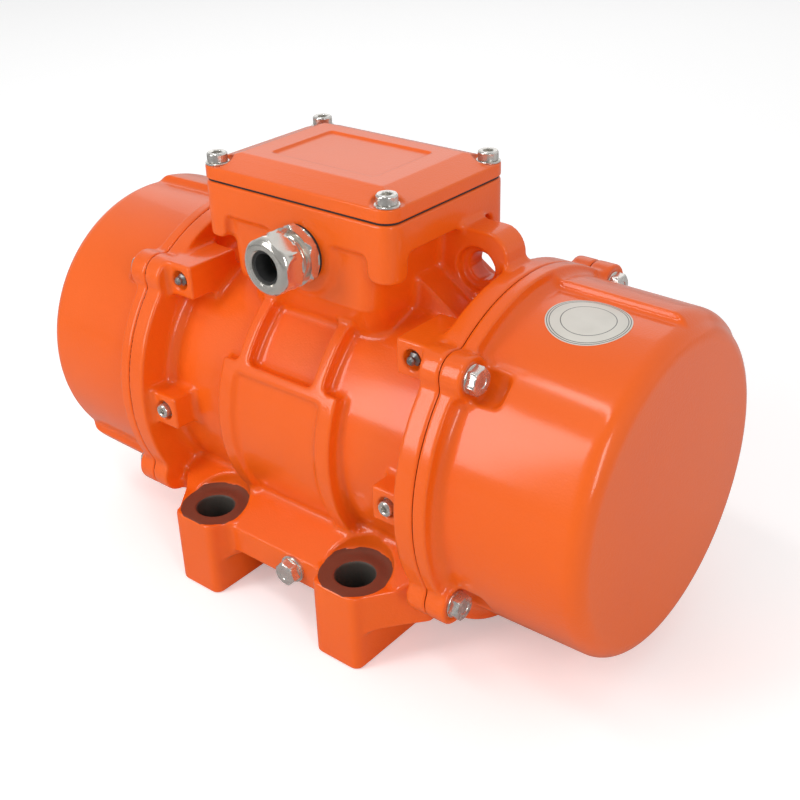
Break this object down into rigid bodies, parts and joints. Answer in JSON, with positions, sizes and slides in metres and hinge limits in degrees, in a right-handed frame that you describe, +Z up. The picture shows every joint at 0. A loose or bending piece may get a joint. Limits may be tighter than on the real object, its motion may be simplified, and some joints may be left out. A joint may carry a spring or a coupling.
{
  "type": "vibration motor",
  "caption": "Electric vibration motor with a ribbed foot-mounted casting, terminal box with cable gland, lifting lugs and eccentric shaft weights under round end covers.",
  "frame": {"origin": "centre of the four foundation holes, on the plane the feet stand on", "axes": "+X along the shaft towards the near end cover, -Y towards the side with the cable gland, +Z up"},
  "size_m": [0.388, 0.214, 0.2542],
  "materials": {
    "enamel": "glossy orange enamel on a casting",
    "stainless": "bright stainless steel",
    "nickel": "nickel plate",
    "gasket_rubber": "black rubber",
    "board_plastic": "moulded board",
    "brass": "machined brass",
    "cast_iron": "machined cast iron",
    "screw_steel": "blackened steel",
    "bearing_steel": "ground steel",
    "lamination": "stacked sheet steel",
    "copper": "varnished copper wire",
    "rotor_alloy": "die-cast aluminium",
    "shaft_steel": "turned steel",
    "weight_steel": "flame-cut and machined steel"
  },
  "bodies": {
    "frame": {"housing": "enamel", "terminal_lid": "enamel", "near_cover": "enamel", "far_cover": "enamel", "lid_screws": "stainless", "lid_washers": "stainless", "cover_screws": "stainless", "cover_washers": "stainless", "port_screws": "stainless", "port_washers": "stainless", "earth_screw": "stainless", "earth_washers": "stainless", "gland_body": "nickel", "gland_nut": "nickel", "lid_gasket": "gasket_rubber", "gland_washer": "gasket_rubber", "gland_seal": "gasket_rubber", "cover_seals": "gasket_rubber", "terminal_board": "board_plastic", "terminal_studs": "brass", "terminal_nuts": "brass", "terminal_links": "brass", "near_bearing_flange": "cast_iron", "far_bearing_flange": "cast_iron", "bearing_caps": "cast_iron", "flange_screws": "screw_steel", "cap_screws": "screw_steel", "grease_nipples": "screw_steel", "bearing_outer_rings": "bearing_steel", "stator_core": "lamination", "stator_winding": "copper"},
    "rotor": {"shaft": "shaft_steel", "rotor_core": "lamination", "rotor_cage": "rotor_alloy", "bearing_inner_rings": "bearing_steel", "near_fixed_weight": "weight_steel", "far_fixed_weight": "weight_steel", "weight_keys": "screw_steel", "shaft_spacers": "shaft_steel", "scale_discs": "shaft_steel", "circlips": "screw_steel"},
    "near_roller_set": {"near_rollers": "bearing_steel", "near_roller_cage": "brass"},
    "far_roller_set": {"far_rollers": "bearing_steel", "far_roller_cage": "brass"},
    "near_weight": {"near_adjustable_weight": "weight_steel", "near_clamp_screw": "screw_steel"},
    "far_weight": {"far_adjustable_weight": "weight_steel", "far_clamp_screw": "screw_steel"}
  },
  "joints": [
    {"name": "rotor_spin", "type": "hinge", "parent": "frame", "child": "rotor", "pos_m": [0, 0, 0.107], "axis": [1, 0, 0], "continuous": true},
    {"name": "near_roller_orbit", "type": "hinge", "parent": "frame", "child": "near_roller_set", "pos_m": [0.0935, 0, 0.107], "axis": [1, 0, 0], "continuous": true},
    {"name": "far_roller_orbit", "type": "hinge", "parent": "frame", "child": "far_roller_set", "pos_m": [-0.0935, 0, 0.107], "axis": [1, 0, 0], "continuous": true},
    {"name": "near_weight_setting", "type": "hinge", "parent": "rotor", "child": "near_weight", "pos_m": [0.158, 0, 0.107], "axis": [1, 0, 0], "range_deg": [0, 180]},
    {"name": "far_weight_setting", "type": "hinge", "parent": "rotor", "child": "far_weight", "pos_m": [-0.158, 0, 0.107], "axis": [1, 0, 0], "range_deg": [0, 180]}
  ],
  "couplings": [
    {"joint": "near_roller_orbit", "follows": "rotor_spin", "ratio": 0.39394},
    {"joint": "far_roller_orbit", "follows": "rotor_spin", "ratio": 0.39394}
  ]
}
